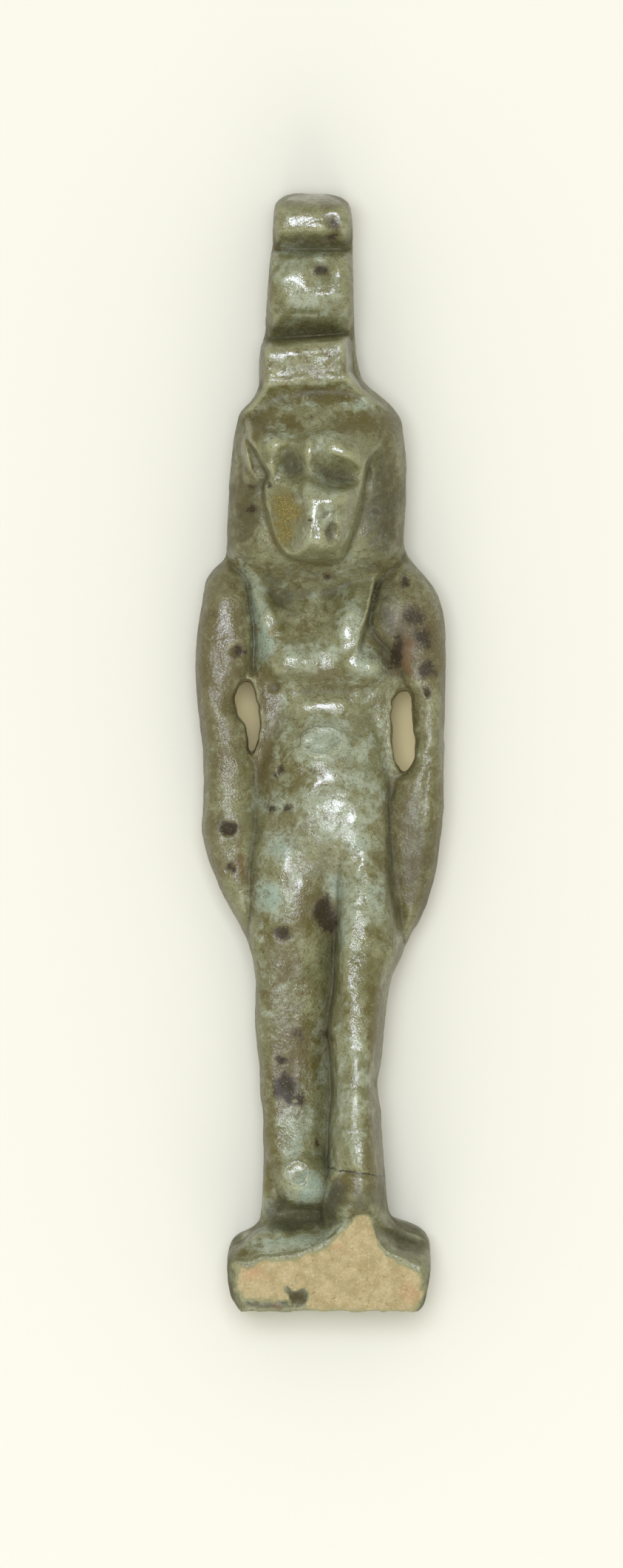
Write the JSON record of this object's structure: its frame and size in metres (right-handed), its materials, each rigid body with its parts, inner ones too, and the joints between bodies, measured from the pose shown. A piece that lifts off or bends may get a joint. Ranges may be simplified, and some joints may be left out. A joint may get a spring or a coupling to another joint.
{
  "type": "deity amulet",
  "caption": "Standing goddess amulet moulded in one piece of glazed faience, with a tall headdress, a back pillar and a slab under the feet whose front is broken off.",
  "frame": {"origin": "under the middle of the outline, on the plane of the pillar's flat back, which it lies on", "axes": "+Y from the slab's underside to the top of the headdress, +X to the viewer's right, +Z out of the figure's front"},
  "size_m": [0.0102, 0.0454, 0.0089],
  "materials": {
    "faience": "glossy mottled grey-green glaze, pitted and stained, over a pale sandy core that shows where the slab is broken"
  },
  "bodies": {
    "root": {"amulet": "faience"}
  },
  "joints": []
}
